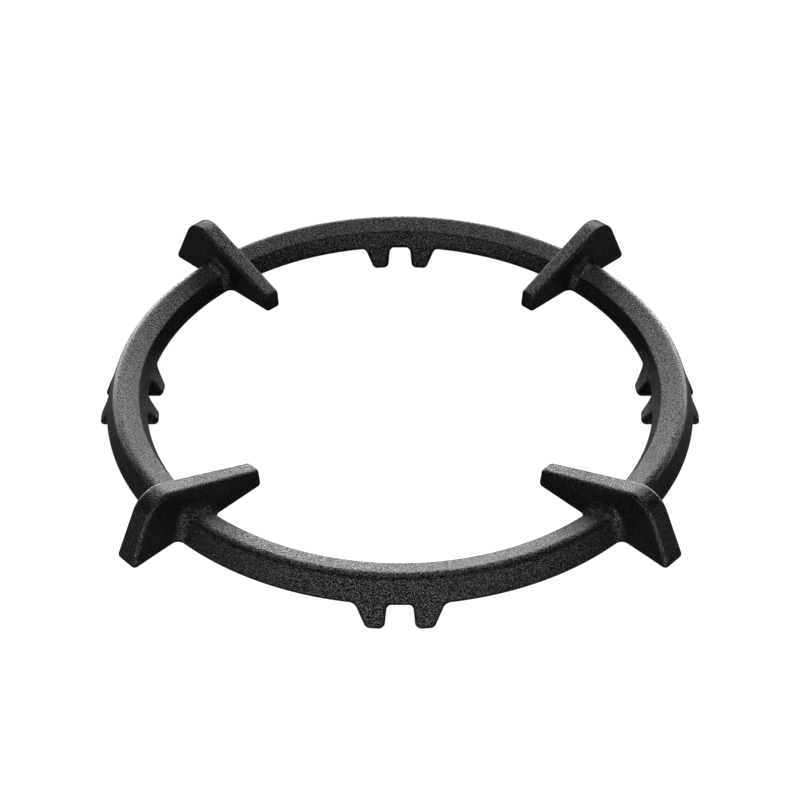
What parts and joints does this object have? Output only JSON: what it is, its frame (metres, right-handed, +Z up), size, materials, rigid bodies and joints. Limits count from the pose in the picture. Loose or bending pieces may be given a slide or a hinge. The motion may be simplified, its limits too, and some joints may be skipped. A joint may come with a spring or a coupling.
{
  "type": "wok ring",
  "caption": "Cast-iron wok ring for a gas hob: a low ring with sloping upright arms that cradle a round-bottomed pan and notched lugs below that straddle the pan-support bars.",
  "frame": {"origin": "centre of the ring, on the plane of the lugs' feet", "axes": "+Z up along the ring's axis, -Y to the front of the hob, +X to the right; the lug pairs lie on X and Y, the arms on the diagonals"},
  "size_m": [0.2472, 0.2472, 0.0335],
  "materials": {
    "cast_iron": "matt black, fine grained as cast and enamelled"
  },
  "bodies": {
    "root": {"ring": "cast_iron", "arm_front_left": "cast_iron", "arm_front_right": "cast_iron", "arm_back_left": "cast_iron", "arm_back_right": "cast_iron", "lug_front_left": "cast_iron", "lug_front_right": "cast_iron", "lug_back_left": "cast_iron", "lug_back_right": "cast_iron", "lug_left_front": "cast_iron", "lug_left_back": "cast_iron", "lug_right_front": "cast_iron", "lug_right_back": "cast_iron"}
  },
  "joints": []
}
